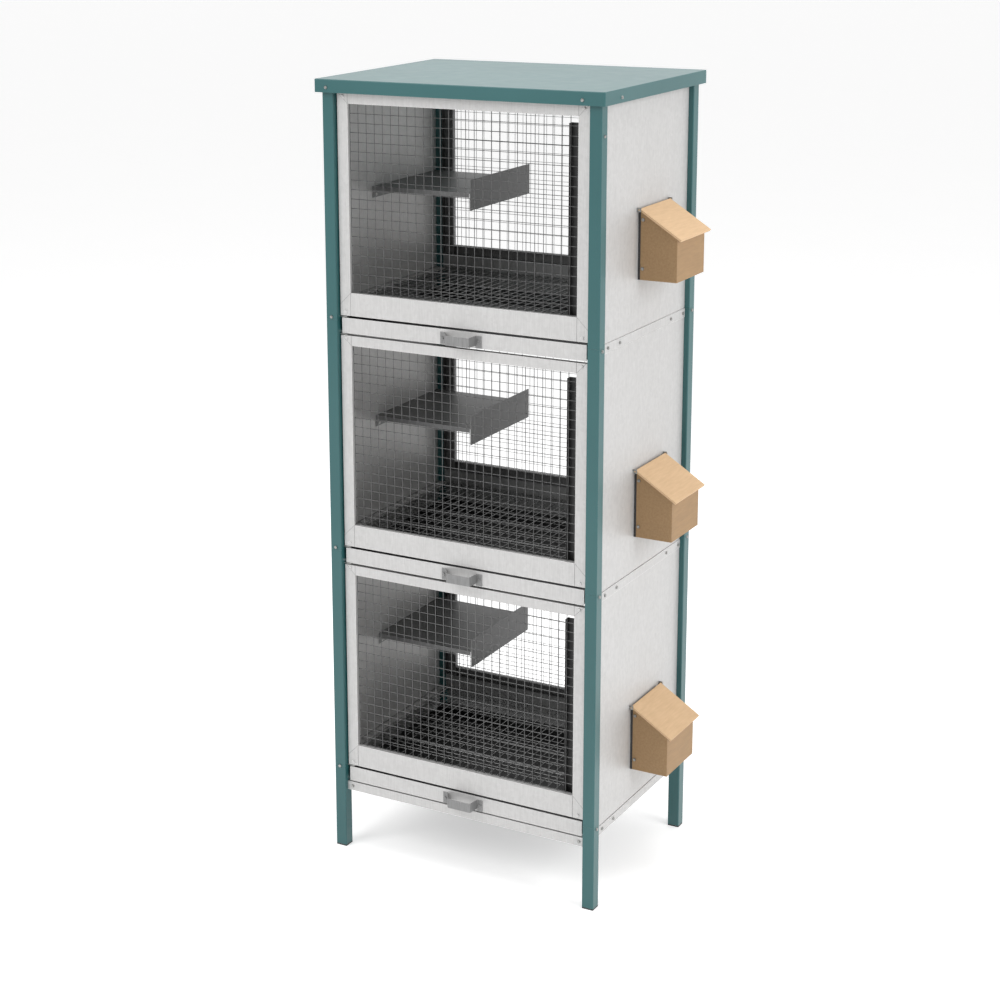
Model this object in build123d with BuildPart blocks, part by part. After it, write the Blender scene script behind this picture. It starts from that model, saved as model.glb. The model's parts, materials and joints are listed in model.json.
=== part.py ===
# Three-tier pigeon cage: square tube posts, galvanised sheet, welded mesh and wooden feeder boxes.
# Millimetres, +Z up. The doors and droppings trays face -Y, the feeders stand out on the +X side.
# Every size below is written from the middle of the four posts. The finished pieces are then moved
# together, so that the origin is the middle of the underside of the whole cage's bounding box.
from build123d import *
import math
import os

# Tiers, counted from the ground
TIERS = ("bottom", "middle", "top")
LEVELS = range(len(TIERS))
FIRST_DOOR = 185.0          # lower edge of the bottom door above the ground
TIER_PITCH = 482.0          # from one door's lower edge to the next one's
DOOR_HEIGHT = 441.0

# Frame of posts
CAGE_WIDTH = 600.0          # across the outside of the posts
CAGE_DEPTH = 450.0
POST = 25.0                 # square tube
POST_WALL = 1.5
POST_CORNER = 2.0
JOINT_DROP = 9.0            # post joints below each door's lower edge
SEAM = 0.3                  # hairline between two pieces that butt
COUPLER_LENGTH = 60.0
COUPLER_CLEARANCE = 0.2
FOOT_THICKNESS = 3.0
FOOT_PLUG = 12.0

# Sheet metal
SHEET = 1.0                 # side panels and trays
FOLDED_SHEET = 1.2          # doors, runners, shelves, roof
SIDE_RECESS = 11.0          # side panels behind the outer faces of the posts
PANEL_TUCK = 1.2            # how far a side panel's edges go into slots in the posts' walls
PANEL_SLOT_GAP = 0.1        # beside the panel in its slot
PANEL_TOP_GAP = 0.8         # from a panel to the rail above it
RAIL_HEIGHT = 18.0
RAIL_PROUD = 1.0
RAIL_GAP = 1.6              # dark line between a rail and the panel above it
RAIL_DROPS = (26.0, 18.0, 9.0)      # rail tops below the doors' lower edges, from the ground up
RAIL_SCREW_DROP = 9.0
RAIL_SCREW_FRONT = (34.0, 87.0)     # from the front end of a rail
RAIL_SCREW_REAR = (71.0, 11.0)      # from its rear end

# Roof
ROOF_HEIGHT = 26.0
ROOF_OVERHANG = 11.0
ROOF_GAP = 2.0              # from the top door to the roof's lower edge
ROOF_CORNER = 3.0
ROOF_EDGE = 1.6

# Doors
DOOR_RECESS = 10.0          # door faces behind the front faces of the posts
DOOR_DEPTH = 12.0
DOOR_GAP = 3.0              # beside each post
DOOR_STILE = 23.5
DOOR_BOTTOM_RAIL = 46.0
DOOR_TOP_RAIL = 20.0
PIVOT_BLOCK = 16.0          # solid ends of the stiles
PIVOT_INSET = 7.0           # pivot axis from the door's free edge
PIN_RADIUS = 2.5
PIN_CLEARANCE = 0.3
PIN_LENGTH = 12.0
PIVOT_TAB = 2.0
PIVOT_TAB_GAP = 1.5
PIVOT_TAB_INSET = 1.0
DOOR_SCREW_INSET = 12.0
DOOR_SCREW_HEIGHTS = (7.5, 435.0)

# Welded mesh, drawn as plates with square holes
MESH_THICKNESS = 1.5
MESH_BAR = 2.0
MESH_SETBACK = 7.5          # front of the mesh behind the face of its frame
MESH_COLUMNS = 20
MESH_ROWS = 15

# Door stops, behind the doors' free edges
STOP_FROM_POST = 52.0       # the stop's free edge from the post's inner face
STOP_CHANNEL = 16.0
STOP_DEPTH = 11.0
STOP_LIP = 2.0
STOP_FOOT = 34.0            # above the door's lower edge
STOP_LENGTH = 372.0

# Rear of each tier
REAR_RAIL = 21.0
REAR_FRAME_FOOT = 55.0      # above the door's lower edge
REAR_BOARD_STEP = 20.0
REAR_BOARD_DROP = 38.0
REAR_BOARD_JOG = 7.0
REAR_BOARD_SETBACK = 6.0    # rear board behind the inner faces of the rear posts

# Droppings trays
TRAY_FACE_TOP = 5.0         # below the door's lower edge
TRAY_FACE_HEIGHT = 31.0
TRAY_FACE_THICKNESS = 2.0
TRAY_FACE_GAP = 6.0         # beside each post
TRAY_INSET = 1.0            # tub narrower than its face, each side
TRAY_FLOOR = 34.0           # below the door's lower edge
TRAY_WALL_TOP = 8.0
TRAY_REAR_GAP = 10.0

# Pulls on the trays
PULL_TOP = 11.0             # below the door's lower edge
PULL_HEIGHT = 19.0
PULL_REACH = 28.0
PULL_LEFT = -35.0           # where the grip's sides meet the tray
PULL_RIGHT = 35.0
PULL_FRONT_LEFT = -19.0     # corners of the grip's front
PULL_FRONT_RIGHT = 33.0
PULL_TAB_HEIGHT = 24.0
PULL_TAB_LEFT = 9.0
PULL_TAB_RIGHT = 12.0
PULL_SHEET = 1.5
PULL_BEND = 3.0

# Runners that carry the trays and the wire floors
RUNNER_LEG = 26.0
RUNNER_SKIRT = 42.0         # web below the door's lower edge
RUNNER_END_GAP = 2.0
TRAY_CLEARANCE = 0.3
FLOOR_HEIGHT = 27.2         # underside of the wire floor above the door's lower edge
FLOOR_THICKNESS = 2.0
FLOOR_BAR = 2.2
FLOOR_COLUMNS = 24
FLOOR_ROWS = 12
FLOOR_SIDE_GAP = 4.0
FLOOR_FRONT_GAP = 4.0
FLOOR_REAR_GAP = 2.0

# Rail under the bottom tray
BASE_RAIL_HEIGHT = 19.0
BASE_RAIL_GAP = 3.0
BASE_SCREW_INSET = 12.0

# Perch shelves on the left wall
PERCH_HEIGHT = 237.0        # top of the shelf above the door's lower edge
PERCH_WIDTH = 224.0
PERCH_FRONT = -62.0
PERCH_REAR_GAP = 2.0
PERCH_HEM = 9.0
PERCH_FLANGE = 24.0
PERCH_SCREW_DROP = 18.0
PERCH_SCREW_INSET = 12.0
PERCH_BOARD = 2.0
PERCH_BOARD_ABOVE = 27.0
PERCH_BOARD_BELOW = 35.0
PERCH_BOARD_INSET = 2.0

# Feeder boxes on the right wall
FEEDER_RISES = (41.0, 54.0, 90.0)   # box undersides above the doors' lower edges, from the ground up
FEEDER_FRONT = -33.0
FEEDER_WIDTH = 132.0
FEEDER_REACH = 76.0
FEEDER_WALL_HEIGHT = 134.0
FEEDER_OUTER_HEIGHT = 86.0
FEEDER_BOARD = 4.0
GASKET = 5.0
GASKET_WIDTH = 12.0
GASKET_DROP = 2.0           # gasket's top below the box's
LID_BOARD = 4.0
LID_CLEARANCE = 0.3
LID_SIDE_OVERHANG = 6.0
LID_OUTER_OVERHANG = 10.0
LID_PIN_RADIUS = 1.4
LID_PIN_LENGTH = 3.5
LUG_THICKNESS = 3.0
LUG_HALF_HEIGHT = 4.0
LUG_NOSE = 3.5              # from the hinge axis to the lug's outer end
LUG_GAP = 0.4               # beside the lid
FEEDER_SCREW_INSET = 5.0
FEEDER_SCREW_HEIGHTS = (22.0, 117.0)

# Screws
SCREW_HEAD = 3.4
SCREW_HEAD_HEIGHT = 2.2
SCREW_TAPER = 12.0          # degrees, of the head's side
SCREW_SHANK = 1.9
SCREW_LENGTH = 5.0
SCREW_HOLE = 2.0
SCREW_SEAT = 0.1            # paint film under a head that shares a node with its seat
POST_FRONT_SCREW = 5.0      # above the joint
POST_SIDE_SCREW = 5.5       # below the joint
PANEL_SCREW_DROP = 55.0     # upper screw in the front right post, below the top door's upper edge
ROOF_SCREW_HEIGHT = 10.0    # above the roof's lower edge
ROOF_SCREWS_FRONT = (-284.0, 266.0)
ROOF_SCREW_SIDE = -164.0

# Levels and faces that follow from the sizes
FRONT = -CAGE_DEPTH / 2
REAR = CAGE_DEPTH / 2
HALF_WIDTH = CAGE_WIDTH / 2
BAY = HALF_WIDTH - POST                     # inner faces of the posts from the middle
INNER_FRONT = FRONT + POST
INNER_REAR = REAR - POST
POST_X = HALF_WIDTH - POST / 2
POST_Y = CAGE_DEPTH / 2 - POST / 2
WALL_OUT = HALF_WIDTH - SIDE_RECESS         # outer face of a side panel
WALL_IN = WALL_OUT - SHEET
DOOR_FACE = FRONT + DOOR_RECESS
DOOR_BACK = DOOR_FACE + DOOR_DEPTH
DOOR_HALF = BAY - DOOR_GAP
OPENING_HALF = DOOR_HALF - DOOR_STILE
OPENING_HEIGHT = DOOR_HEIGHT - DOOR_BOTTOM_RAIL - DOOR_TOP_RAIL
PIVOT_X = -DOOR_HALF + PIVOT_INSET
PIVOT_Y = DOOR_FACE + DOOR_DEPTH / 2
FEEDER_IN = WALL_OUT + GASKET
FEEDER_OUT = FEEDER_IN + FEEDER_REACH
FEEDER_REAR = FEEDER_FRONT + FEEDER_WIDTH
LID_SLOPE = math.atan2(FEEDER_WALL_HEIGHT - FEEDER_OUTER_HEIGHT, FEEDER_REACH)
LID_LENGTH = (FEEDER_REACH + LID_OUTER_OVERHANG) / math.cos(LID_SLOPE)
LID_HALF_WIDTH = FEEDER_WIDTH / 2 + LID_SIDE_OVERHANG
LID_AXIS_RISE = (LID_CLEARANCE + LID_BOARD / 2) / math.cos(LID_SLOPE)   # above the box's upper edge
FEEDER_MIDDLE = FEEDER_FRONT + FEEDER_WIDTH / 2


def door_bottom(level):
    """Height of a door's lower edge above the ground."""
    return FIRST_DOOR + level * TIER_PITCH


def post_joint(level):
    """Height of the joint between two lengths of post."""
    return door_bottom(level) - JOINT_DROP


def rail_top(level):
    """Height of the upper edge of a side rail."""
    return door_bottom(level) - RAIL_DROPS[level]


def feeder_foot(level):
    """Height of a feeder box's underside."""
    return door_bottom(level) + FEEDER_RISES[level]


ROOF_FOOT = door_bottom(len(TIERS) - 1) + DOOR_HEIGHT + ROOF_GAP
CAGE_HEIGHT = ROOF_FOOT + ROOF_HEIGHT
POST_TOP = CAGE_HEIGHT - FOLDED_SHEET
ROOF_X = HALF_WIDTH + ROOF_OVERHANG
ROOF_Y = CAGE_DEPTH / 2 + ROOF_OVERHANG

# The box around the cage runs from the roof's left edge to the lids' outer edges, and from the
# pulls to the roof's rear edge.
LID_OUT = FEEDER_OUT + LID_OUTER_OVERHANG + LID_BOARD / 2 * math.sin(LID_SLOPE)
PULL_OUT = DOOR_FACE - PULL_REACH
TO_ORIGIN = Location((-(LID_OUT - ROOF_X) / 2, -(ROOF_Y + PULL_OUT) / 2, 0))


def save(piece, label, rise=0.0):
    """Label a finished piece, move it to the cage's origin and write its STEP file."""
    placed = piece.part.moved(TO_ORIGIN * Location((0, 0, rise)))
    placed.label = label
    export_step(placed, f"parts/{label}.step")


def save_on_each_tier(piece, name):
    """Write a piece that was made for the bottom tier at the level of every tier."""
    for level in LEVELS:
        save(piece, f"{name}_{TIERS[level]}", level * TIER_PITCH)


def block(x, y, z, mode=Mode.ADD):
    """A rectangular block between two values of x, of y and of z."""
    with BuildSketch(Plane.XY.offset(z[0])) as base:
        with Locations(((x[0] + x[1]) / 2, (y[0] + y[1]) / 2)):
            Rectangle(x[1] - x[0], y[1] - y[0])
    extrude(base.sketch, amount=z[1] - z[0], mode=mode)


def mirrored(side, inner, outer):
    """Two values of x on the left (-1) or right (+1) side, the smaller one first."""
    return tuple(sorted((side * inner, side * outer)))


def seat_facing(normal, x, y, z):
    """The plane that a screw's head rests on."""
    return Plane(origin=(x, y, z), z_dir=normal)


def drill(seats, depth):
    """Clearance holes for screws, from each seat into the material."""
    with BuildSketch(*seats) as holes:
        Circle(SCREW_HOLE)
    extrude(holes.sketch, amount=-depth, mode=Mode.SUBTRACT)


def screws_at(seats):
    """Pan-head screws: each head stands on its seat and its shank goes into the material."""
    with BuildSketch(*seats) as heads:
        Circle(SCREW_HEAD)
    extrude(heads.sketch, amount=SCREW_HEAD_HEIGHT, taper=SCREW_TAPER)
    with BuildSketch(*seats) as shanks:
        Circle(SCREW_SHANK)
    extrude(shanks.sketch, amount=-SCREW_LENGTH)


LEFT_FACING = (-1, 0, 0)
RIGHT_FACING = (1, 0, 0)
FRONT_FACING = (0, -1, 0)
REAR_FACING = (0, 1, 0)
CORNERS = {
    "front_left": (-1, -1),
    "front_right": (1, -1),
    "rear_left": (-1, 1),
    "rear_right": (1, 1),
}


def post_side_seats(side, end):
    """Screws in the outer side face of a post, one below each joint."""
    normal = RIGHT_FACING if side > 0 else LEFT_FACING
    return [
        seat_facing(normal, side * HALF_WIDTH, end * POST_Y, post_joint(level) - POST_SIDE_SCREW)
        for level in LEVELS
    ]


def post_front_seats():
    """Screws in the front face of the front left post, one above each joint."""
    return [
        seat_facing(FRONT_FACING, -POST_X, FRONT, post_joint(level) + POST_FRONT_SCREW)
        for level in LEVELS
    ]


def panel_screw_seat():
    """The upper screw in the side face of the front right post."""
    height = door_bottom(LEVELS[-1]) + DOOR_HEIGHT - PANEL_SCREW_DROP
    return seat_facing(RIGHT_FACING, HALF_WIDTH, -POST_Y, height)


def rail_seats(side, level):
    """Four screws along a side rail, which also hold the tray runner behind it."""
    normal = RIGHT_FACING if side > 0 else LEFT_FACING
    height = rail_top(level) - RAIL_SCREW_DROP
    places = [INNER_FRONT + inset for inset in RAIL_SCREW_FRONT]
    places += [INNER_REAR - inset for inset in RAIL_SCREW_REAR]
    return [seat_facing(normal, side * (WALL_OUT + RAIL_PROUD), y, height) for y in places]


def roof_seats():
    """Screws in the roof's front and side aprons."""
    height = ROOF_FOOT + ROOF_SCREW_HEIGHT
    seats = [seat_facing(FRONT_FACING, x, -ROOF_Y, height) for x in ROOF_SCREWS_FRONT]
    seats.append(seat_facing(RIGHT_FACING, ROOF_X, ROOF_SCREW_SIDE, height))
    seats.append(seat_facing(LEFT_FACING, -ROOF_X, ROOF_SCREW_SIDE, height))
    return seats


def base_rail_seats():
    """One screw near each end of the rail under the bottom tray."""
    height = base_rail_top() - BASE_RAIL_HEIGHT / 2
    inset = BAY - BASE_SCREW_INSET
    return [seat_facing(FRONT_FACING, x, DOOR_FACE, height) for x in (-inset, inset)]


def perch_seats(level):
    """Two screws through a perch shelf's flange into the left wall."""
    height = door_bottom(level) + PERCH_HEIGHT - PERCH_SCREW_DROP
    wall = -WALL_IN + FOLDED_SHEET
    places = (PERCH_FRONT + PERCH_SCREW_INSET, INNER_REAR - PERCH_REAR_GAP - PERCH_SCREW_INSET)
    return [seat_facing(RIGHT_FACING, wall, y, height) for y in places]


def feeder_seats(level):
    """Two screws in each side board of a feeder box, beside the wall."""
    x = FEEDER_IN + FEEDER_SCREW_INSET
    seats = []
    for height in FEEDER_SCREW_HEIGHTS:
        z = feeder_foot(level) + height
        seats.append(seat_facing(FRONT_FACING, x, FEEDER_FRONT, z))
        seats.append(seat_facing(REAR_FACING, x, FEEDER_REAR, z))
    return seats


def base_rail_top():
    """Height of the upper edge of the rail under the bottom tray."""
    return door_bottom(0) - TRAY_FACE_TOP - TRAY_FACE_HEIGHT - BASE_RAIL_GAP


def cut_panel_slot(side, end):
    """A slot down a post's inner wall, for the edges of the side panels."""
    x = mirrored(side, WALL_IN - PANEL_SLOT_GAP, WALL_OUT + PANEL_SLOT_GAP)
    y = mirrored(end, INNER_REAR, INNER_REAR + POST_WALL)
    block(x, y, (panel_span(0)[0], panel_span(LEVELS[-1])[1]), mode=Mode.SUBTRACT)


def make_post(name, side, end):
    """A corner post: a leg and three lengths of square tube stacked on it."""
    ends = [FOOT_THICKNESS] + [post_joint(level) for level in LEVELS] + [POST_TOP + SEAM]
    inside = POST - 2 * POST_WALL
    with BuildPart() as post:
        for lower, upper in zip(ends, ends[1:]):
            with BuildSketch(Plane.XY.offset(lower)):
                with Locations((side * POST_X, end * POST_Y)):
                    RectangleRounded(POST, POST, POST_CORNER)
                    Rectangle(inside, inside, mode=Mode.SUBTRACT)
            extrude(amount=upper - lower - SEAM)
        cut_panel_slot(side, end)
        drill(post_side_seats(side, end), POST_WALL)
        if name == "front_left":
            drill(post_front_seats(), POST_WALL)
        if name == "front_right":
            drill([panel_screw_seat()], POST_WALL)
    save(post, f"post_{name}")


def make_couplers():
    """Short inner tubes that join the lengths of each post."""
    outside = POST - 2 * POST_WALL - 2 * COUPLER_CLEARANCE
    with BuildPart() as couplers:
        for side, end in CORNERS.values():
            for level in LEVELS:
                with BuildSketch(Plane.XY.offset(post_joint(level) - COUPLER_LENGTH / 2)):
                    with Locations((side * POST_X, end * POST_Y)):
                        Rectangle(outside, outside)
                        Rectangle(outside - 2 * POST_WALL, outside - 2 * POST_WALL, mode=Mode.SUBTRACT)
                extrude(amount=COUPLER_LENGTH)
            drill(post_side_seats(side, end), 2 * POST_WALL + COUPLER_CLEARANCE)
        drill(post_front_seats(), 2 * POST_WALL + COUPLER_CLEARANCE)
    save(couplers, "post_couplers")


def make_foot_caps():
    """A cap under each leg, with a plug that goes up into the tube."""
    plug = POST - 2 * POST_WALL - 2 * COUPLER_CLEARANCE
    with BuildPart() as caps:
        for side, end in CORNERS.values():
            with BuildSketch():
                with Locations((side * POST_X, end * POST_Y)):
                    RectangleRounded(POST, POST, POST_CORNER)
            extrude(amount=FOOT_THICKNESS)
            with BuildSketch(Plane.XY.offset(FOOT_THICKNESS)):
                with Locations((side * POST_X, end * POST_Y)):
                    Rectangle(plug, plug)
            extrude(amount=FOOT_PLUG)
    save(caps, "foot_caps")


def make_roof():
    """A folded lid that stands over the posts, open below."""
    with BuildPart() as roof:
        with BuildSketch(Plane.XY.offset(ROOF_FOOT)):
            RectangleRounded(2 * ROOF_X, 2 * ROOF_Y, ROOF_CORNER)
        extrude(amount=ROOF_HEIGHT)
        fillet(roof.faces().sort_by(Axis.Z)[-1].edges(), ROOF_EDGE)
        inside_x = ROOF_X - FOLDED_SHEET
        inside_y = ROOF_Y - FOLDED_SHEET
        with BuildSketch(Plane.XY.offset(ROOF_FOOT)):
            RectangleRounded(2 * inside_x, 2 * inside_y, ROOF_CORNER - FOLDED_SHEET)
        extrude(amount=ROOF_HEIGHT - FOLDED_SHEET, mode=Mode.SUBTRACT)
        drill(roof_seats(), 2 * FOLDED_SHEET)
    save(roof, "roof")


def panel_span(level):
    """Lower and upper edges of a side panel, between the rails or under the roof."""
    lower = rail_top(level) + RAIL_GAP
    if level == LEVELS[-1]:
        return lower, ROOF_FOOT + ROOF_HEIGHT / 2
    return lower, rail_top(level + 1) - RAIL_HEIGHT - PANEL_TOP_GAP


def make_side_panel(level, side):
    """A sheet wall between two posts. The right one has a window into the feeder box."""
    y = (INNER_FRONT - PANEL_TUCK, INNER_REAR + PANEL_TUCK)
    with BuildPart() as panel:
        block(mirrored(side, WALL_IN, WALL_OUT), y, panel_span(level))
        if side > 0:
            block((WALL_IN - SHEET, WALL_OUT + SHEET), *feeder_window(level), mode=Mode.SUBTRACT)
        else:
            drill(perch_seats(level), FOLDED_SHEET + 2 * SHEET)
    save(panel, f"side_panel_{'right' if side > 0 else 'left'}_{TIERS[level]}")


def feeder_window(level):
    """The opening from the cage into a feeder box, in y and in z."""
    foot = feeder_foot(level)
    top = foot + FEEDER_WALL_HEIGHT - GASKET_DROP - GASKET_WIDTH
    return (FEEDER_FRONT + GASKET_WIDTH, FEEDER_REAR - GASKET_WIDTH), (foot + GASKET_WIDTH, top)


def make_side_rails():
    """Six flat rails between the posts, under the side panels."""
    with BuildPart() as rails:
        for level in LEVELS:
            z = (rail_top(level) - RAIL_HEIGHT, rail_top(level))
            for side in (-1, 1):
                block(mirrored(side, WALL_IN, WALL_OUT + RAIL_PROUD), (INNER_FRONT, INNER_REAR), z)
                drill(rail_seats(side, level), RAIL_PROUD + 2 * SHEET)
    save(rails, "side_rails")


def make_runners():
    """Six channels inside the side walls: trays slide on their lower legs, floors lie on the upper."""
    y = (INNER_FRONT + RUNNER_END_GAP, INNER_REAR - RUNNER_END_GAP)
    with BuildPart() as runners:
        for level in LEVELS:
            foot = door_bottom(level)
            leg_top = foot - TRAY_FLOOR - TRAY_CLEARANCE
            floor_leg = (foot + FLOOR_HEIGHT - FOLDED_SHEET, foot + FLOOR_HEIGHT)
            for side in (-1, 1):
                web = mirrored(side, WALL_IN - FOLDED_SHEET, WALL_IN)
                leg = mirrored(side, WALL_IN - RUNNER_LEG, WALL_IN)
                block(web, y, (foot - RUNNER_SKIRT, foot + FLOOR_HEIGHT))
                block(leg, y, (leg_top - FOLDED_SHEET, leg_top))
                block(leg, y, floor_leg)
                drill(rail_seats(side, level), SCREW_LENGTH + SCREW_SEAT)
    save(runners, "tray_runners")


def make_base_rail():
    """The front rail under the bottom tray, a channel that opens backwards."""
    z = (base_rail_top() - BASE_RAIL_HEIGHT, base_rail_top())
    with BuildPart() as rail:
        block((-BAY, BAY), (DOOR_FACE, DOOR_BACK), z)
        inside = (z[0] + FOLDED_SHEET, z[1] - FOLDED_SHEET)
        block((-BAY, BAY), (DOOR_FACE + FOLDED_SHEET, DOOR_BACK), inside, mode=Mode.SUBTRACT)
        drill(base_rail_seats(), 2 * FOLDED_SHEET)
    save(rail, "base_rail_front")


def frame_bar(x, y_face, depth, z, solid_end=FOLDED_SHEET):
    """A folded bar of a door or rear frame: a face with returns, hollow from behind."""
    back = y_face + depth
    block(x, tuple(sorted((y_face, back))), z)
    inside = tuple(sorted((y_face + math.copysign(FOLDED_SHEET, depth), back)))
    hollow_x = (x[0] + FOLDED_SHEET, x[1] - FOLDED_SHEET)
    block(hollow_x, inside, (z[0] + solid_end, z[1] - solid_end), mode=Mode.SUBTRACT)


def make_door_frame():
    """Two stiles and two rails with a screw at each corner. Pivot holes are in the left stile."""
    foot = FIRST_DOOR
    top = foot + DOOR_HEIGHT
    seats = []
    for x in (-DOOR_HALF + DOOR_SCREW_INSET, DOOR_HALF - DOOR_SCREW_INSET):
        for height in DOOR_SCREW_HEIGHTS:
            seats.append(seat_facing(FRONT_FACING, x, DOOR_FACE, foot + height))
    rail = (-OPENING_HALF + SEAM, OPENING_HALF - SEAM)
    with BuildPart() as frame:
        for side in (-1, 1):
            stile = mirrored(side, OPENING_HALF, DOOR_HALF)
            frame_bar(stile, DOOR_FACE, DOOR_DEPTH, (foot, top), PIVOT_BLOCK)
        frame_bar(rail, DOOR_FACE, DOOR_DEPTH, (foot, foot + DOOR_BOTTOM_RAIL))
        frame_bar(rail, DOOR_FACE, DOOR_DEPTH, (top - DOOR_TOP_RAIL, top))
        for end in (foot, top - PIN_LENGTH):
            with BuildSketch(Plane.XY.offset(end)):
                with Locations((PIVOT_X, PIVOT_Y)):
                    Circle(PIN_RADIUS + PIN_CLEARANCE)
            extrude(amount=PIN_LENGTH, mode=Mode.SUBTRACT)
        drill(seats, SCREW_LENGTH + SCREW_SEAT)
        screws_at([seat.offset(SCREW_SEAT) for seat in seats])
    save_on_each_tier(frame, "door_frame")


def upright_plane(y, z):
    """A plane that faces the front, with its x axis along the width."""
    return Plane(origin=(0, y, z), x_dir=RIGHT_FACING, z_dir=FRONT_FACING)


def net_plate(plane, width, height, columns, rows, bar, thickness):
    """A flat net of square holes about the middle of a plane."""
    pitch_x = (width - bar) / columns
    pitch_y = (height - bar) / rows
    with BuildSketch(plane) as net:
        with GridLocations(pitch_x, 0, columns + 1, 1):
            Rectangle(bar, height)
        with GridLocations(0, pitch_y, 1, rows + 1):
            Rectangle(width, bar)
    extrude(net.sketch, amount=thickness)


def welded_mesh(plane, height):
    """The mesh of a door or rear frame."""
    net_plate(plane, 2 * OPENING_HALF, height, MESH_COLUMNS, MESH_ROWS, MESH_BAR, MESH_THICKNESS)


def make_door_mesh():
    """The welded mesh in a door's opening."""
    middle = FIRST_DOOR + DOOR_BOTTOM_RAIL + OPENING_HEIGHT / 2
    plane = upright_plane(DOOR_FACE + MESH_SETBACK + MESH_THICKNESS, middle)
    with BuildPart() as mesh:
        welded_mesh(plane, OPENING_HEIGHT)
    save_on_each_tier(mesh, "door_mesh")


def make_rear_frame():
    """The frame of the mesh wall at the back, between the rear posts."""
    lower = FIRST_DOOR + REAR_FRAME_FOOT
    top = FIRST_DOOR + DOOR_HEIGHT
    face = REAR - DOOR_RECESS
    rail = (-OPENING_HALF + SEAM, OPENING_HALF - SEAM)
    with BuildPart() as frame:
        for side in (-1, 1):
            frame_bar(mirrored(side, OPENING_HALF, BAY), face, -DOOR_DEPTH, (lower, top))
        frame_bar(rail, face, -DOOR_DEPTH, (lower, lower + REAR_RAIL))
        frame_bar(rail, face, -DOOR_DEPTH, (top - DOOR_TOP_RAIL, top))
    save_on_each_tier(frame, "rear_frame")


def make_rear_mesh():
    """The welded mesh in a rear frame."""
    lower = FIRST_DOOR + REAR_FRAME_FOOT + REAR_RAIL
    top = FIRST_DOOR + DOOR_HEIGHT - DOOR_TOP_RAIL
    plane = upright_plane(REAR - DOOR_RECESS - MESH_SETBACK, (lower + top) / 2)
    with BuildPart() as mesh:
        welded_mesh(plane, top - lower)
    save_on_each_tier(mesh, "rear_mesh")


def make_rear_board():
    """A folded board below the rear frame, with a step that goes down behind the tray."""
    foot = FIRST_DOOR
    inner = INNER_REAR + REAR_BOARD_SETBACK
    outer = inner + REAR_BOARD_JOG
    step = foot + REAR_BOARD_STEP
    with BuildPart() as board:
        block((-BAY, BAY), (inner, inner + FOLDED_SHEET), (step, foot + REAR_FRAME_FOOT))
        block((-BAY, BAY), (inner, outer + FOLDED_SHEET), (step, step + FOLDED_SHEET))
        block((-BAY, BAY), (outer, outer + FOLDED_SHEET), (foot - REAR_BOARD_DROP, step + FOLDED_SHEET))
    save_on_each_tier(board, "rear_board")


def make_door_stop():
    """An upright folded channel on the front right post, behind the door's free edge."""
    z = (FIRST_DOOR + STOP_FOOT, FIRST_DOOR + STOP_FOOT + STOP_LENGTH)
    face = INNER_FRONT
    left = BAY - STOP_FROM_POST
    right = left + STOP_CHANNEL
    back = face + STOP_DEPTH
    with BuildPart() as stop:
        block((right, WALL_IN), (face, face + FOLDED_SHEET), z)
        block((right, right + FOLDED_SHEET), (face, back), z)
        block((left, right + FOLDED_SHEET), (back - FOLDED_SHEET, back), z)
        block((left, left + FOLDED_SHEET), (face - STOP_LIP, back), z)
    save_on_each_tier(stop, "door_stop")


def make_pivots():
    """Tabs on the front left post with a pin up or down into each door."""
    with BuildPart() as pivots:
        y = (DOOR_FACE + PIVOT_TAB_INSET, DOOR_BACK - PIVOT_TAB_INSET)
        x = (-BAY, PIVOT_X + PIVOT_INSET)
        for level in LEVELS:
            foot = door_bottom(level)
            top = foot + DOOR_HEIGHT
            lower_tab = (foot - PIVOT_TAB_GAP - PIVOT_TAB, foot - PIVOT_TAB_GAP)
            upper_tab = (top + PIVOT_TAB_GAP, top + PIVOT_TAB_GAP + PIVOT_TAB)
            block(x, y, lower_tab)
            block(x, y, upper_tab)
            for start in (lower_tab[1], upper_tab[0] - PIN_LENGTH):
                with BuildSketch(Plane.XY.offset(start)):
                    with Locations((PIVOT_X, PIVOT_Y)):
                        Circle(PIN_RADIUS)
                extrude(amount=PIN_LENGTH)
    save(pivots, "door_pivots")


def make_tray():
    """A folded droppings tray with its front plate."""
    foot = FIRST_DOOR
    face_top = foot - TRAY_FACE_TOP
    face_half = BAY - TRAY_FACE_GAP
    half = face_half - TRAY_INSET
    back_of_face = DOOR_FACE + TRAY_FACE_THICKNESS
    rear = INNER_REAR - TRAY_REAR_GAP
    bottom = foot - TRAY_FLOOR
    walls = foot - TRAY_WALL_TOP
    with BuildPart() as tray:
        block((-face_half, face_half), (DOOR_FACE, back_of_face), (face_top - TRAY_FACE_HEIGHT, face_top))
        block((-half, half), (back_of_face, rear), (bottom, walls))
        inside_x = (-half + SHEET, half - SHEET)
        block(inside_x, (back_of_face, rear - SHEET), (bottom + SHEET, walls), mode=Mode.SUBTRACT)
        drill(pull_seats(), TRAY_FACE_THICKNESS + PULL_SHEET)
    save_on_each_tier(tray, "tray")


def pull_seats():
    """One screw in each tab of a pull."""
    height = FIRST_DOOR - PULL_TOP - PULL_TAB_HEIGHT / 2
    places = (PULL_LEFT - PULL_TAB_LEFT / 2, PULL_RIGHT + PULL_TAB_RIGHT / 2)
    return [seat_facing(FRONT_FACING, x, DOOR_FACE - PULL_SHEET, height) for x in places]


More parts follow.
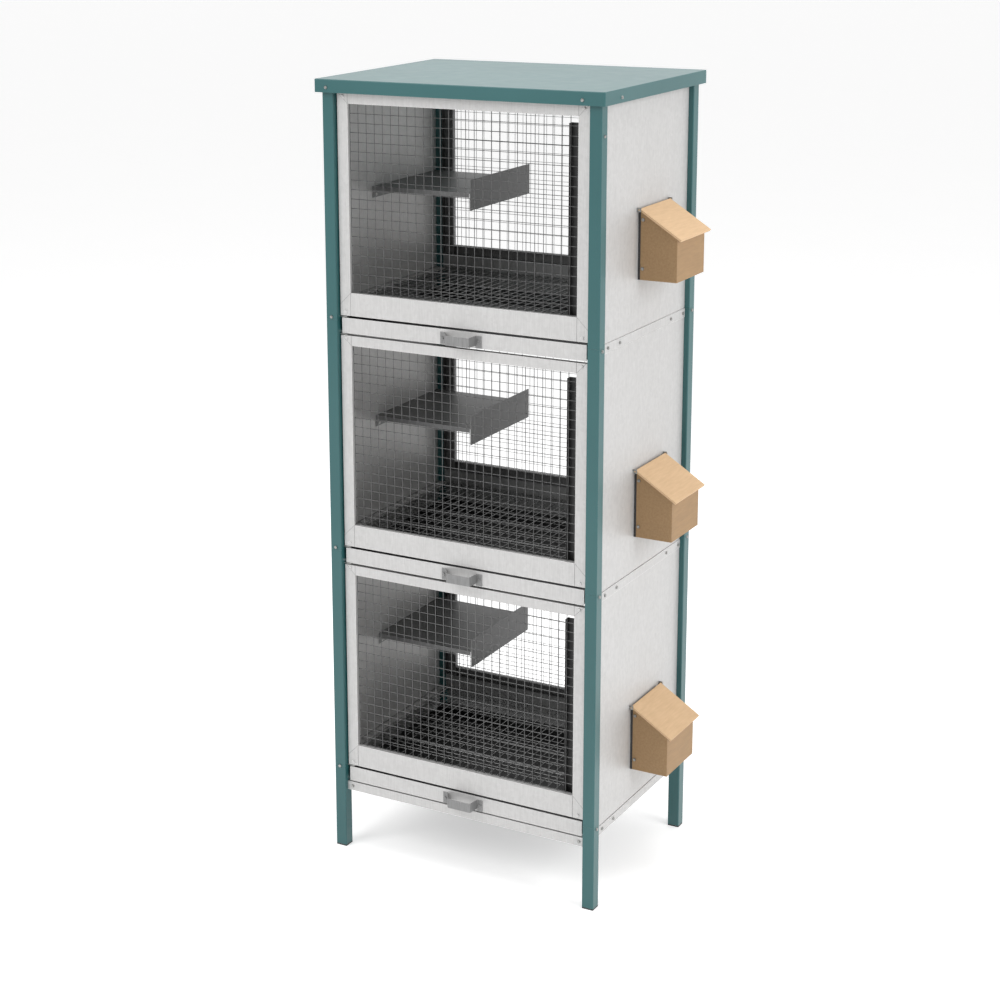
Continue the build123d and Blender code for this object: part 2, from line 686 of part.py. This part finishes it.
def pull_grip():
    """The grip's band from above: an open outline along the middle of its sheet."""
    front = DOOR_FACE - PULL_REACH + PULL_SHEET / 2
    back = DOOR_FACE - PULL_SHEET / 2
    with BuildLine() as middle:
        FilletPolyline(
            (PULL_LEFT, back),
            (PULL_FRONT_LEFT + PULL_SHEET / 2, front),
            (PULL_FRONT_RIGHT - PULL_SHEET / 2, front),
            (PULL_RIGHT, back),
            radius=PULL_BEND,
        )
    return middle.line


def make_pull():
    """A strip folded into a grip that is open above and below, screwed on by two tabs."""
    top = FIRST_DOOR - PULL_TOP
    behind = (DOOR_FACE - PULL_SHEET, DOOR_FACE)
    tab_z = (top - PULL_TAB_HEIGHT, top)
    grip = pull_grip()
    with BuildPart() as pull:
        with BuildSketch(Plane.XY.offset(top - PULL_HEIGHT)) as band:
            trace(grip, PULL_SHEET)
        extrude(band.sketch, amount=PULL_HEIGHT)
        block((PULL_LEFT - PULL_TAB_LEFT, PULL_LEFT + PULL_SHEET), behind, tab_z)
        block((PULL_RIGHT - PULL_SHEET, PULL_RIGHT + PULL_TAB_RIGHT), behind, tab_z)
        drill(pull_seats(), PULL_SHEET)
        screws_at([seat.offset(SCREW_SEAT) for seat in pull_seats()])
    save_on_each_tier(pull, "tray_pull")


def make_floor():
    """The wire floor, which lies on the runners above the tray."""
    half = WALL_IN - FLOOR_SIDE_GAP
    front = INNER_FRONT + FLOOR_FRONT_GAP
    rear = INNER_REAR - FLOOR_REAR_GAP
    plane = Plane(origin=(0, (front + rear) / 2, FIRST_DOOR + FLOOR_HEIGHT))
    with BuildPart() as floor:
        net_plate(plane, 2 * half, rear - front, FLOOR_COLUMNS, FLOOR_ROWS, FLOOR_BAR, FLOOR_THICKNESS)
    save_on_each_tier(floor, "wire_floor")


def make_perch():
    """A shelf with a hem and a flange down the left wall, and the upright board on its free end."""
    top = FIRST_DOOR + PERCH_HEIGHT
    rear = INNER_REAR - PERCH_REAR_GAP
    x = (-WALL_IN, -WALL_IN + PERCH_WIDTH)
    y = (PERCH_FRONT, rear)
    with BuildPart() as perch:
        block(x, y, (top - FOLDED_SHEET, top))
        block(x, (y[0], y[0] + FOLDED_SHEET), (top - PERCH_HEM, top))
        block((x[0], x[0] + FOLDED_SHEET), y, (top - PERCH_FLANGE, top))
        drill(perch_seats(0), FOLDED_SHEET)
        board_y = (PERCH_FRONT + PERCH_BOARD_INSET, rear - PERCH_BOARD_INSET)
        board_z = (top - PERCH_BOARD_BELOW, top + PERCH_BOARD_ABOVE)
        block((x[1] + SEAM, x[1] + SEAM + PERCH_BOARD), board_y, board_z)
    save_on_each_tier(perch, "perch")


def make_feeder_gasket(level):
    """Four dark strips around the window, between the wall and the feeder box."""
    foot = feeder_foot(level)
    top = foot + FEEDER_WALL_HEIGHT - GASKET_DROP
    window_y, window_z = feeder_window(level)
    x = (WALL_OUT, FEEDER_IN)
    across = (FEEDER_FRONT, FEEDER_REAR)
    upright = (window_z[0] + SEAM, window_z[1] - SEAM)
    with BuildPart() as gasket:
        block(x, across, (foot, window_z[0]))
        block(x, across, (window_z[1], top))
        block(x, (FEEDER_FRONT, window_y[0]), upright)
        block(x, (window_y[1], FEEDER_REAR), upright)
    save(gasket, f"feeder_gasket_{TIERS[level]}")


def make_feeder_box(level):
    """Two sloping side boards, an outer board and a bottom board, open at the wall and on top."""
    foot = feeder_foot(level)
    board = FEEDER_BOARD
    between = (FEEDER_FRONT + board + SEAM, FEEDER_REAR - board - SEAM)
    with BuildPart() as box:
        for start in (FEEDER_FRONT, FEEDER_REAR - board):
            with BuildSketch(Plane.XZ.offset(-start - board)):
                with BuildLine():
                    Polyline(
                        (FEEDER_IN, foot),
                        (FEEDER_OUT, foot),
                        (FEEDER_OUT, foot + FEEDER_OUTER_HEIGHT),
                        (FEEDER_IN, foot + FEEDER_WALL_HEIGHT),
                        close=True,
                    )
                make_face()
            extrude(amount=board)
        block((FEEDER_OUT - board, FEEDER_OUT), between, (foot, foot + FEEDER_OUTER_HEIGHT))
        block((FEEDER_IN, FEEDER_OUT - board - SEAM), between, (foot, foot + board))
        drill(feeder_seats(level), board + SCREW_LENGTH)
    save(box, f"feeder_box_{TIERS[level]}")


def lid_axis_height(level):
    """Height of the axis that a feeder lid turns about."""
    return feeder_foot(level) + FEEDER_WALL_HEIGHT + LID_AXIS_RISE


def make_feeder_lid(level):
    """A sloping board with a round edge at the wall and a pin at each end of that edge."""
    axis = (FEEDER_IN, FEEDER_MIDDLE, lid_axis_height(level))
    slope = Plane(origin=axis, x_dir=(math.cos(LID_SLOPE), 0, -math.sin(LID_SLOPE)), z_dir=REAR_FACING)
    with BuildPart() as lid:
        with BuildSketch(slope) as profile:
            with Locations((LID_LENGTH / 2, 0)):
                Rectangle(LID_LENGTH, LID_BOARD)
            Circle(LID_BOARD / 2)
        extrude(profile.sketch, amount=LID_HALF_WIDTH, both=True)
        with BuildSketch(slope) as pin:
            Circle(LID_PIN_RADIUS)
        extrude(pin.sketch, amount=LID_HALF_WIDTH + LID_PIN_LENGTH, both=True)
    save(lid, f"feeder_lid_{TIERS[level]}")


def make_lid_lugs():
    """Lugs on the right wall that hold the pins of the feeder lids."""
    reach = LID_HALF_WIDTH + LUG_GAP
    with BuildPart() as lugs:
        for level in LEVELS:
            height = lid_axis_height(level)
            x = (WALL_OUT, FEEDER_IN + LUG_NOSE)
            z = (height - LUG_HALF_HEIGHT, height + LUG_HALF_HEIGHT)
            block(x, (FEEDER_MIDDLE - reach - LUG_THICKNESS, FEEDER_MIDDLE - reach), z)
            block(x, (FEEDER_MIDDLE + reach, FEEDER_MIDDLE + reach + LUG_THICKNESS), z)
            axis = Plane(origin=(FEEDER_IN, FEEDER_MIDDLE, height), z_dir=REAR_FACING)
            with BuildSketch(axis) as bore:
                Circle(LID_PIN_RADIUS + PIN_CLEARANCE)
            extrude(bore.sketch, amount=reach + LUG_THICKNESS, both=True, mode=Mode.SUBTRACT)
    save(lugs, "lid_lugs")


def make_frame_screws():
    """Every screw of the fixed frame, walls, roof, perches and feeder boxes."""
    seats = post_front_seats() + [panel_screw_seat()] + roof_seats() + base_rail_seats()
    for side, end in CORNERS.values():
        seats += post_side_seats(side, end)
    for level in LEVELS:
        seats += rail_seats(-1, level) + rail_seats(1, level)
        seats += perch_seats(level) + feeder_seats(level)
    with BuildPart() as screws:
        screws_at(seats)
    save(screws, "frame_screws")


os.makedirs("parts", exist_ok=True)

for corner, (corner_side, corner_end) in CORNERS.items():
    make_post(corner, corner_side, corner_end)
make_couplers()
make_foot_caps()
make_roof()
make_side_rails()
make_runners()
make_base_rail()
make_pivots()
make_lid_lugs()
make_frame_screws()
make_door_frame()
make_door_mesh()
make_door_stop()
make_rear_frame()
make_rear_mesh()
make_rear_board()
make_tray()
make_pull()
make_floor()
make_perch()

for tier in LEVELS:
    make_side_panel(tier, -1)
    make_side_panel(tier, 1)
    make_feeder_gasket(tier)
    make_feeder_box(tier)
    make_feeder_lid(tier)
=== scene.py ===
# Three-tier pigeon cage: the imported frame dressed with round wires, painted and galvanised sheet,
# wooden feeder boxes, a pale floor and soft studio light. Metres, +Z up, doors facing -Y.
import bpy
import bmesh
import json
import math
from mathutils import Matrix, Vector


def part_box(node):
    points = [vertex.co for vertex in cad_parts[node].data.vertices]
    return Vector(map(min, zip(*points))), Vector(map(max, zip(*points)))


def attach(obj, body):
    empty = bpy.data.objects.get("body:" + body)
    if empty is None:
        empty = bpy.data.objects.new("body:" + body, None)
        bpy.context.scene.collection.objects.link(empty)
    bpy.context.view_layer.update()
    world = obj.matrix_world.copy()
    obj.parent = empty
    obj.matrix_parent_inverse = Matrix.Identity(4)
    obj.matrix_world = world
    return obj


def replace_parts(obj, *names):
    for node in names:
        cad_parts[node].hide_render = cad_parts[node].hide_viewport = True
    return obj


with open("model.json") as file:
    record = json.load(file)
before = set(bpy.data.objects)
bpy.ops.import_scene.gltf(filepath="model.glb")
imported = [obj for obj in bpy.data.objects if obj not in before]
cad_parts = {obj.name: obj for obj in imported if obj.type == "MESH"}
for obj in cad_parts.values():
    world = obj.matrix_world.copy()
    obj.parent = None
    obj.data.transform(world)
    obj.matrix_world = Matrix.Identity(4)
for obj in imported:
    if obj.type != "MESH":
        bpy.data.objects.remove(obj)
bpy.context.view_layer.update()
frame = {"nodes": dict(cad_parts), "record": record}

TIERS = ("bottom", "middle", "top")
FIRST_DOOR = 0.185          # lower edge of the bottom door
TIER_PITCH = 0.482
OPENING_HALF = 0.2485       # a door's opening, from its middle and above its lower edge
OPENING_FOOT = 0.046
OPENING_TOP = 0.421
SCRIBE = 0.0005             # half the width of a scribed line
TRAY_PLATE = 0.003          # the part of a tray that is seen as its front plate
FLOOR_GLOW = 0.42           # keeps the studio floor white far from the lights
FLOOR_HALF = 30.0
WHITE_ROOM = 1.05           # how bright the room is where it is seen or mirrored
ROOM_LIGHT = 0.55           # and where it lights dull surfaces

# Wires
MESH_WIRE = 0.0014          # diameter
REAR_WIRE = 0.0011
MESH_COLUMNS = 27
MESH_ROWS = 20
FLOOR_WIRE = 0.0018
FLOOR_COLUMNS = 30
FLOOR_ROWS = 15
FLOOR_ROD = 0.0030          # thicker rods under the wire floor
FLOOR_RODS = 3
WIRE_SIDES = 6
WIRE_OVERLAP = 0.9          # crossing wires' axes lie this many radii off the net's middle, each way

# Places of the cage in the frame's coordinates
FOOT_LOW, FOOT_HIGH = (Vector(corner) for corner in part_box("foot_caps"))
CAGE_CENTRE = (FOOT_LOW + FOOT_HIGH) / 2
CAGE_MIDDLE = CAGE_CENTRE.x
DOOR_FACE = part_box("tray_bottom")[0][1]

# Camera, fitted to the photograph: its place, its three rows and its focal length in image widths
CAMERA_FROM_CAGE = Vector((1.9048, -3.6476, 2.0096))
CAMERA_TURN = Vector((0.2329, 0.0518, -0.5359))
FOCAL = 2.0825
CENTRE_X = 0.39312          # principal point, in image widths from the left and from the top
CENTRE_Y = 0.36979
SENSOR = 36.0


# Node helpers

class Nodes:
    """Short calls for building one material's node tree."""

    def __init__(self, name):
        self.material = bpy.data.materials.new(name)
        self.material.use_nodes = True
        self.tree = self.material.node_tree
        self.shader = self.tree.nodes["Principled BSDF"]
        self.place = self.tree.nodes.new("ShaderNodeTexCoord").outputs["Object"]

    def link(self, source, target):
        self.tree.links.new(source, target)

    def set(self, node, **values):
        for name, value in values.items():
            node.inputs[name.replace("_", " ")].default_value = value

    def stretched(self, scale):
        """Object coordinates, stretched by a scale along each axis."""
        node = self.tree.nodes.new("ShaderNodeMapping")
        node.inputs["Scale"].default_value = scale
        self.link(self.place, node.inputs["Vector"])
        return node.outputs["Vector"]

    def noise(self, scale, detail=3.0, rough=0.5, stretch=(1, 1, 1)):
        node = self.tree.nodes.new("ShaderNodeTexNoise")
        self.set(node, Scale=scale, Detail=detail, Roughness=rough)
        self.link(self.stretched(stretch), node.inputs["Vector"])
        return node.outputs["Fac"]

    def cells(self, scale, stretch=(1, 1, 1)):
        """A random value for each cell of a Voronoi pattern."""
        node = self.tree.nodes.new("ShaderNodeTexVoronoi")
        self.set(node, Scale=scale)
        self.link(self.stretched(stretch), node.inputs["Vector"])
        grey = self.tree.nodes.new("ShaderNodeSeparateColor")
        self.link(node.outputs["Color"], grey.inputs["Color"])
        return grey.outputs["Red"]

    def ramp(self, value, stops):
        node = self.tree.nodes.new("ShaderNodeValToRGB")
        points = node.color_ramp.elements
        while len(points) < len(stops):
            points.new(0.5)
        for point, (position, color) in zip(points, stops):
            point.position = position
            point.color = (*color, 1.0)
        self.link(value, node.inputs["Fac"])
        return node.outputs["Color"]

    def spread(self, value, low, high):
        """A value from 0 to 1 mapped to low to high."""
        node = self.tree.nodes.new("ShaderNodeMapRange")
        node.inputs["To Min"].default_value = low
        node.inputs["To Max"].default_value = high
        self.link(value, node.inputs["Value"])
        return node.outputs["Result"]

    def axis(self, name):
        """One object coordinate."""
        node = self.tree.nodes.new("ShaderNodeSeparateXYZ")
        self.link(self.place, node.inputs["Vector"])
        return node.outputs[name]

    def grey_ramp(self, value, low, high):
        """A ramp between two greys."""
        return self.ramp(value, [(0.3, (low, low, low)), (0.7, (high, high, high))])

    def colour(self, source):
        self.link(source, self.shader.inputs["Base Color"])

    def near(self, first, second, reach):
        """1 where two values lie within a reach of each other, otherwise 0."""
        apart = self.math("ABSOLUTE", self.math("SUBTRACT", first, second), 0.0)
        return self.math("LESS_THAN", apart, reach)

    def math(self, operation, first, second):
        node = self.tree.nodes.new("ShaderNodeMath")
        node.operation = operation
        for socket, value in zip(node.inputs, (first, second)):
            if isinstance(value, (int, float)):
                socket.default_value = value
            else:
                self.link(value, socket)
        return node.outputs["Value"]

    def mix(self, factor, first, second, blend="MIX"):
        node = self.tree.nodes.new("ShaderNodeMix")
        node.data_type = "RGBA"
        node.blend_type = blend
        for socket, value in zip((node.inputs[0], node.inputs[6], node.inputs[7]), (factor, first, second)):
            if isinstance(value, (int, float)):
                socket.default_value = value
            elif isinstance(value, tuple):
                socket.default_value = (*value, 1.0)
            else:
                self.link(value, socket)
        return node.outputs[2]

    def edges(self, radius):
        """About 1 on sharp outer edges and 0 on flat faces."""
        bevel = self.tree.nodes.new("ShaderNodeBevel")
        bevel.samples = 4
        bevel.inputs["Radius"].default_value = radius
        normal = self.tree.nodes.new("ShaderNodeNewGeometry").outputs["Normal"]
        dot = self.tree.nodes.new("ShaderNodeVectorMath")
        dot.operation = "DOT_PRODUCT"
        self.link(bevel.outputs["Normal"], dot.inputs[0])
        self.link(normal, dot.inputs[1])
        return self.math("SUBTRACT", 1.0, dot.outputs["Value"])

    def bump(self, height, distance, strength=1.0, softened=None):
        node = self.tree.nodes.new("ShaderNodeBump")
        node.inputs["Strength"].default_value = strength
        node.inputs["Distance"].default_value = distance
        self.link(height, node.inputs["Height"])
        if softened is not None:
            self.link(softened, node.inputs["Normal"])
        self.link(node.outputs["Normal"], self.shader.inputs["Normal"])

    def soft_edge(self, radius):
        node = self.tree.nodes.new("ShaderNodeBevel")
        node.samples = 4
        node.inputs["Radius"].default_value = radius
        return node.outputs["Normal"]


def painted_metal():
    """Smooth teal powder coat: a fine orange peel, a little dust and paler edges, which are a painted
    highlight.
    """
    n = Nodes("teal_paint")
    tint = n.noise(3.0, detail=4.0)
    fine = n.noise(420.0, detail=2.0)
    base = n.ramp(tint, [(0.3, (0.020, 0.094, 0.098)), (0.7, (0.028, 0.112, 0.115))])
    # paler teal along the outer edges: a painted highlight
    edge_highlight = n.math("MULTIPLY", n.edges(0.0012), 1.0)
    n.colour(n.mix(edge_highlight, base, (0.10, 0.24, 0.24)))
    n.link(n.spread(n.noise(35.0), 0.30, 0.38), n.shader.inputs["Roughness"])
    n.set(n.shader, Metallic=0.0, Specular_IOR_Level=0.4, Coat_Weight=0.2, Coat_Roughness=0.22)
    n.bump(fine, 0.00006, 0.5, n.soft_edge(0.0012))
    return n.material


def galvanised(name, light, dark, rough=(0.40, 0.54), metal=0.3, mask=None, highlight_width=0.0009):
    """Zinc-coated sheet: fine spangle, upright rolling streaks, and hems and cut edges painted brighter as
    a painted highlight.
    """
    n = Nodes(name)
    spangle = n.cells(150.0)
    rolled = n.noise(30.0, detail=4.0, stretch=(30.0, 30.0, 1.2))
    body = n.ramp(rolled, [(0.3, dark), (0.7, light)])
    body = n.mix(n.spread(spangle, 0.0, 0.07), body, (1.0, 1.0, 1.0), "OVERLAY")
    # hems and cut edges painted brighter: a painted highlight
    edge_highlight = n.math("MINIMUM", n.math("MULTIPLY", n.edges(highlight_width), 2.5), 0.9)
    body = n.mix(edge_highlight, body, tuple(min(0.92, 1.7 * value + 0.02) for value in light))
    if mask is not None:
        body = mask(n, body)
    n.colour(body)
    n.link(n.spread(rolled, rough[0], rough[1]), n.shader.inputs["Roughness"])
    n.set(n.shader, Metallic=metal)
    n.bump(n.math("ADD", rolled, n.math("MULTIPLY", spangle, 0.3)), 0.00004, 0.3)
    return n.material


def scribed_joints(n, body):
    """Fine dark lines where a door's bars meet: mitres at the opening's corners and butt seams."""
    across = n.math("ABSOLUTE", n.math("SUBTRACT", n.axis("X"), CAGE_MIDDLE), 0.0)
    height = n.math("MODULO", n.math("SUBTRACT", n.axis("Z"), FIRST_DOOR), TIER_PITCH)
    past = n.math("SUBTRACT", across, OPENING_HALF)
    below = n.math("SUBTRACT", OPENING_FOOT, height)
    above = n.math("SUBTRACT", height, OPENING_TOP)
    outside = n.math("MAXIMUM", below, above)
    lines = n.math("MAXIMUM", n.near(past, outside, SCRIBE), n.near(past, 0.0, SCRIBE))
    lines = n.math("MULTIPLY", lines, n.math("GREATER_THAN", outside, 0.0))
    return n.mix(n.math("MULTIPLY", lines, 0.6), body, (0.05, 0.05, 0.05))


def painted_tray_shade(n, body):
    """A tray is painted near black behind its front plate: painted shade inside the cage."""
    inside = n.math("GREATER_THAN", n.axis("Y"), DOOR_FACE + TRAY_PLATE)
    return n.mix(inside, body, (0.022, 0.022, 0.022))


def wire_metal(name, low, high, metal=0.6):
    """Zinc wire with a slight mottling."""
    n = Nodes(name)
    mottle = n.noise(220.0, detail=3.0)
    n.colour(n.grey_ramp(mottle, low, high))
    n.link(n.spread(mottle, 0.30, 0.45), n.shader.inputs["Roughness"])
    n.set(n.shader, Metallic=metal)
    n.bump(mottle, 0.00004, 0.4)
    return n.material


def screw_metal():
    """Zinc-plated screws with a fine mottling."""
    n = Nodes("zinc_steel")
    grime = n.noise(300.0, detail=4.0)
    n.colour(n.ramp(grime, [(0.3, (0.20, 0.20, 0.19)), (0.7, (0.42, 0.42, 0.41))]))
    n.link(n.spread(grime, 0.25, 0.45), n.shader.inputs["Roughness"])
    n.set(n.shader, Metallic=0.85)
    n.bump(grime, 0.00005, 0.4)
    return n.material


def board(name, light, dark):
    """Tan board with a fine grain along its width and lighter edges, which are a painted highlight."""
    n = Nodes(name)
    grain = n.noise(40.0, detail=6.0, rough=0.6, stretch=(6.0, 0.7, 6.0))
    blotch = n.noise(9.0, detail=3.0)
    body = n.ramp(grain, [(0.3, dark), (0.7, light)])
    body = n.mix(n.spread(blotch, 0.0, 0.25), body, tuple(0.8 * value for value in dark))
    # lighter board edges: a painted highlight
    edge_highlight = n.math("MULTIPLY", n.edges(0.0015), 1.2)
    n.colour(n.mix(edge_highlight, body, tuple(min(1.0, 1.25 * value) for value in light)))
    n.link(n.spread(grain, 0.5, 0.7), n.shader.inputs["Roughness"])
    n.bump(grain, 0.0002, 0.35, n.soft_edge(0.001))
    return n.material


def dull_black(name, low, high, roughness):
    """Black plastic or rubber with a fine moulded grain."""
    n = Nodes(name)
    speck = n.noise(350.0, detail=3.0)
    n.colour(n.grey_ramp(speck, low, high))
    n.link(n.spread(speck, roughness - 0.05, roughness + 0.1), n.shader.inputs["Roughness"])
    n.bump(speck, 0.0001, 0.4)
    return n.material


def floor_finish():
    """Pale studio floor with a barely visible mottling."""
    n = Nodes("studio_floor")
    mottle = n.noise(2.0, detail=2.0)
    n.colour(n.ramp(mottle, [(0.0, (0.86, 0.86, 0.86)), (1.0, (0.90, 0.90, 0.90))]))
    n.link(n.spread(mottle, 0.75, 0.85), n.shader.inputs["Roughness"])
    n.set(n.shader, Emission_Color=(1.0, 1.0, 1.0, 1.0), Emission_Strength=FLOOR_GLOW)
    return n.material


SHEET_LIGHT = (0.53, 0.525, 0.52)
SHEET_DARK = (0.46, 0.455, 0.45)
MATERIALS = {
    "teal_paint": painted_metal(),
    "galvanised_steel": galvanised("galvanised_steel", SHEET_LIGHT, SHEET_DARK),
    # zinc wire painted dark: painted shade beside the paler rear and floor wires
    "zinc_wire": wire_metal("zinc_wire", 0.07, 0.13),
    "zinc_steel": screw_metal(),
    "black_plastic": dull_black("black_plastic", 0.015, 0.03, 0.55),
    "dark_rubber": dull_black("dark_rubber", 0.02, 0.04, 0.7),
    "tan_board": board("tan_board", (0.36, 0.225, 0.11), (0.28, 0.17, 0.078)),
    "tan_board_light": board("tan_board_light", (0.67, 0.46, 0.27), (0.58, 0.385, 0.215)),
}
DOOR_METAL = galvanised("door_metal", SHEET_LIGHT, SHEET_DARK, mask=scribed_joints, highlight_width=0.0016)
# the tray's inside is painted near black as painted shade
TRAY_METAL = galvanised("tray_metal", SHEET_LIGHT, SHEET_DARK, mask=painted_tray_shade, highlight_width=0.0016)
# The pull, perch, door stop, rear frame and rear board are the same galvanised sheet in darker greys:
# painted shade.
SHADED_PULL_METAL = galvanised("pull_metal", (0.25, 0.25, 0.25), (0.18, 0.18, 0.18), highlight_width=0.0012)
SHADED_SHELF_METAL = galvanised("shelf_metal", (0.17, 0.17, 0.17), (0.12, 0.12, 0.12), highlight_width=0.0014)
SHADED_STOP_METAL = galvanised("stop_metal", (0.04, 0.04, 0.04), (0.02, 0.02, 0.02), highlight_width=0.0006)
SHADED_REAR_METAL = galvanised("rear_metal", (0.15, 0.15, 0.15), (0.10, 0.10, 0.10))
SHADED_BACK_METAL = galvanised("back_metal", (0.30, 0.30, 0.30), (0.23, 0.23, 0.23))
# The zinc wire is painted in three greys as painted light and shade: pale on the rear wires, mid grey on
# the floor wires, dark on the door wires.
REAR_WIRES = wire_metal("rear_wires", 0.55, 0.75, metal=0.3)
FLOOR_WIRES = wire_metal("floor_wires", 0.16, 0.28)
OWN_METALS = {
    "door_frame": DOOR_METAL,
    "tray": TRAY_METAL,
    "tray_pull": SHADED_PULL_METAL,
    "perch": SHADED_SHELF_METAL,
    "door_stop": SHADED_STOP_METAL,
    "rear_frame": SHADED_REAR_METAL,
    "rear_board": SHADED_BACK_METAL,
}
SLOTS = {part["node"]: part["material_slot"] for part in frame["record"]["subparts"]}


def put_on(obj, material):
    """Give a piece one material."""
    obj.data.materials.clear()
    obj.data.materials.append(material)


# Pieces that replace coarse nets

def rod(bm, start, end, radius):
    """A closed round wire from start to end."""
    start, end = Vector(start), Vector(end)
    along = (end - start).normalized()
    side = along.orthogonal().normalized()
    up = along.cross(side)
    rings = []
    for centre in (start, end):
        ring = []
        for k in range(WIRE_SIDES):
            turn = 2 * math.pi * k / WIRE_SIDES
            ring.append(bm.verts.new(centre + radius * (math.cos(turn) * side + math.sin(turn) * up)))
        rings.append(ring)
    for k in range(WIRE_SIDES):
        after = (k + 1) % WIRE_SIDES
        bm.faces.new((rings[0][k], rings[0][after], rings[1][after], rings[1][k]))
    bm.faces.new(list(reversed(rings[0])))
    bm.faces.new(rings[1])


def piece(name, bm, body, slot, material=None):
    """Turn a mesh under construction into a piece that rides on a body."""
    bmesh.ops.recalc_face_normals(bm, faces=bm.faces[:])
    mesh = bpy.data.meshes.new(name)
    bm.to_mesh(mesh)
    bm.free()
    obj = bpy.data.objects.new(name, mesh)
    bpy.context.collection.objects.link(obj)
    put_on(obj, material or MATERIALS[slot])
    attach(obj, body)
    return obj


def spaced(low, high, count):
    """Positions of count wires, the outer ones half a wire inside the edges."""
    return [low + (high - low) * k / (count - 1) for k in range(count)]


def upright_net(name, node, body, wire, material=None):
    """Welded mesh of round wires in the place of an upright plate."""
    low, high = (Vector(corner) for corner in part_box(node))
    radius = wire / 2
    middle = (low.y + high.y) / 2
    front = middle - WIRE_OVERLAP * radius
    back = middle + WIRE_OVERLAP * radius
    bm = bmesh.new()
    for x in spaced(low.x + radius, high.x - radius, MESH_COLUMNS + 1):
        rod(bm, (x, front, low.z), (x, front, high.z), radius)
    rows = round(MESH_ROWS * (high.z - low.z) / (OPENING_TOP - OPENING_FOOT))
    for z in spaced(low.z + radius, high.z - radius, rows + 1):
        rod(bm, (low.x, back, z), (high.x, back, z), radius)
    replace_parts(piece(name, bm, body, "zinc_wire", material), node)


def floor_net(name, node, body):
    """The wire floor: crossed wires on a few thicker rods."""
    low, high = (Vector(corner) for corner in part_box(node))
    radius = FLOOR_WIRE / 2
    middle = (low.z + high.z) / 2
    upper = middle + WIRE_OVERLAP * radius
    lower = middle - WIRE_OVERLAP * radius
    bm = bmesh.new()
    for x in spaced(low.x + radius, high.x - radius, FLOOR_COLUMNS + 1):
        rod(bm, (x, low.y, upper), (x, high.y, upper), radius)
    for y in spaced(low.y + radius, high.y - radius, FLOOR_ROWS + 1):
        rod(bm, (low.x, y, lower), (high.x, y, lower), radius)
    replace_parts(piece(name, bm, body, "zinc_wire", FLOOR_WIRES), node)
    bm = bmesh.new()
    under = low.z - FLOOR_ROD / 2
    for k in range(FLOOR_RODS):
        y = low.y + (high.y - low.y) * (k + 1) / (FLOOR_RODS + 1)
        rod(bm, (low.x, y, under), (high.x, y, under), FLOOR_ROD / 2)
    piece(name + "_rods", bm, body, "zinc_wire", FLOOR_WIRES)


for part_name, slot_name in SLOTS.items():
    put_on(frame["nodes"][part_name], MATERIALS[slot_name])
for tier in TIERS:
    for part_name, metal in OWN_METALS.items():
        put_on(frame["nodes"][f"{part_name}_{tier}"], metal)
    upright_net(f"door_wires_{tier}", f"door_mesh_{tier}", f"door_{tier}", MESH_WIRE)
    upright_net(f"rear_wires_{tier}", f"rear_mesh_{tier}", "frame", REAR_WIRE, REAR_WIRES)
    floor_net(f"floor_wires_{tier}", f"wire_floor_{tier}", "frame")


# Stage

def studio_floor():
    bm = bmesh.new()
    bmesh.ops.create_grid(bm, x_segments=1, y_segments=1, size=FLOOR_HALF)
    mesh = bpy.data.meshes.new("floor")
    bm.to_mesh(mesh)
    bm.free()
    obj = bpy.data.objects.new("floor", mesh)
    bpy.context.collection.objects.link(obj)
    put_on(obj, floor_finish())


def area_light(name, place, target, size, power):
    data = bpy.data.lights.new(name, "AREA")
    data.shape = "SQUARE"
    data.size = size
    data.energy = power
    obj = bpy.data.objects.new(name, data)
    obj.location = place
    obj.rotation_euler = (Vector(target) - Vector(place)).to_track_quat("-Z", "Y").to_euler()
    bpy.context.collection.objects.link(obj)


def studio_light():
    """A white room: brighter where it is seen or mirrored than where it lights dull surfaces."""
    world = bpy.data.worlds.new("studio")
    world.use_nodes = True
    tree = world.node_tree
    background = tree.nodes["Background"]
    background.inputs["Color"].default_value = (1.0, 1.0, 1.0, 1.0)
    path = tree.nodes.new("ShaderNodeLightPath")
    strength = tree.nodes.new("ShaderNodeMapRange")
    strength.inputs["To Min"].default_value = WHITE_ROOM
    strength.inputs["To Max"].default_value = ROOM_LIGHT
    tree.links.new(path.outputs["Is Diffuse Ray"], strength.inputs["Value"])
    tree.links.new(strength.outputs["Result"], background.inputs["Strength"])
    bpy.context.scene.world = world
    area_light("key", (-1.8, -3.4, 3.6), (0, 0, 0.9), 2.4, 85)
    area_light("side", (3.8, -0.2, 2.6), (0, 0, 0.9), 2.2, 75)
    area_light("overhead", (0.2, 0.2, 4.2), (0, 0, 0), 2.6, 60)


def photo_camera():
    """The photograph's camera: its turn is a rotation vector, and its frame is shifted off centre."""
    turn = Matrix.Rotation(CAMERA_TURN.length, 3, CAMERA_TURN.normalized())
    upright = Matrix(((1, 0, 0), (0, 0, -1), (0, 1, 0)))
    rows = upright @ turn
    axes = Matrix((rows[0], -rows[1], -rows[2])).transposed()
    data = bpy.data.cameras.new("photo_camera")
    data.sensor_fit = "HORIZONTAL"
    data.sensor_width = SENSOR
    data.lens = FOCAL * SENSOR
    data.shift_x = 0.5 - CENTRE_X
    data.shift_y = CENTRE_Y - 0.5
    data.clip_end = 100.0
    obj = bpy.data.objects.new("photo_camera", data)
    place = Vector((CAGE_CENTRE.x, CAGE_CENTRE.y, 0.0)) + CAMERA_FROM_CAGE
    obj.matrix_world = Matrix.Translation(place) @ axes.to_4x4()
    bpy.context.collection.objects.link(obj)
    bpy.context.scene.camera = obj


studio_floor()
studio_light()
photo_camera()
bpy.context.scene.view_settings.view_transform = "Standard"
